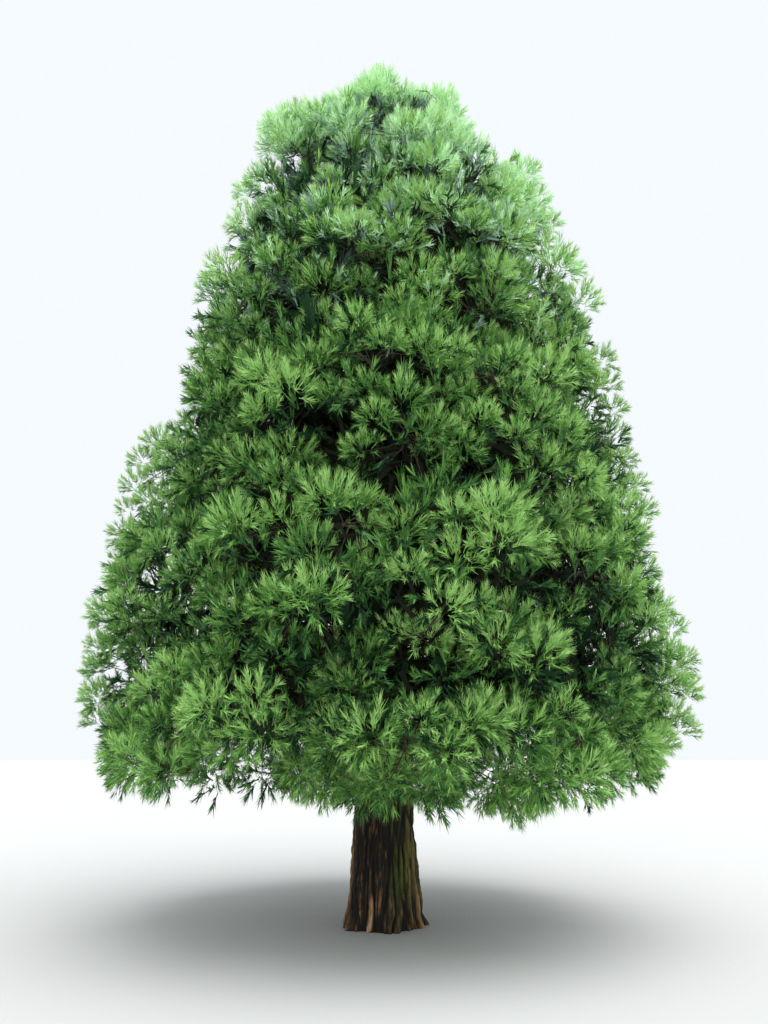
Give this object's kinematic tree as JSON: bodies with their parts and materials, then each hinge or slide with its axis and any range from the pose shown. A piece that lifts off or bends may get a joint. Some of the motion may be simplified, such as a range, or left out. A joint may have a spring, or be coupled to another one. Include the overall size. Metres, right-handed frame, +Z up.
{
  "type": "giant sequoia tree",
  "caption": "Young giant sequoia: a straight flared trunk, side boughs, and a dense blunt cone of evergreen foliage in rounded masses from low skirt to leader.",
  "frame": {"origin": "middle of the flat cut under the trunk, at ground level", "axes": "+Z up the trunk, -Y towards the side that the picture shows, +X to that side's right"},
  "size_m": [5.5653, 5.6345, 9.3],
  "materials": {
    "bark": "soft fibrous red-brown bark in long upright furrows, matt",
    "foliage": "short scale-leaved green shoots in dense sprays, matt, lighter at the tips"
  },
  "bodies": {
    "root": {"trunk": "bark", "skirt_bough_1": "bark", "skirt_mass_1": "foliage", "skirt_bough_2": "bark", "skirt_mass_2": "foliage", "skirt_bough_3": "bark", "skirt_mass_3": "foliage", "skirt_bough_4": "bark", "skirt_mass_4": "foliage", "skirt_bough_5": "bark", "skirt_mass_5": "foliage", "skirt_bough_6": "bark", "skirt_mass_6": "foliage", "skirt_bough_7": "bark", "skirt_mass_7": "foliage", "skirt_bough_8": "bark", "skirt_mass_8": "foliage", "lower_bough_1": "bark", "lower_mass_1": "foliage", "lower_bough_2": "bark", "lower_mass_2": "foliage", "lower_bough_3": "bark", "lower_mass_3": "foliage", "lower_bough_4": "bark", "lower_mass_4": "foliage", "lower_bough_5": "bark", "lower_mass_5": "foliage", "lower_bough_6": "bark", "lower_mass_6": "foliage", "lower_bough_7": "bark", "lower_mass_7": "foliage", "middle_bough_1": "bark", "middle_mass_1": "foliage", "middle_bough_2": "bark", "middle_mass_2": "foliage", "middle_bough_3": "bark", "middle_mass_3": "foliage", "middle_bough_4": "bark", "middle_mass_4": "foliage", "middle_bough_5": "bark", "middle_mass_5": "foliage", "middle_bough_6": "bark", "middle_mass_6": "foliage", "upper_bough_1": "bark", "upper_mass_1": "foliage", "upper_bough_2": "bark", "upper_mass_2": "foliage", "upper_bough_3": "bark", "upper_mass_3": "foliage", "upper_bough_4": "bark", "upper_mass_4": "foliage", "upper_bough_5": "bark", "upper_mass_5": "foliage", "high_mass_1": "foliage", "high_mass_2": "foliage", "high_mass_3": "foliage", "high_mass_4": "foliage", "top_mass_1": "foliage", "top_mass_2": "foliage", "top_mass_3": "foliage"}
  },
  "joints": []
}
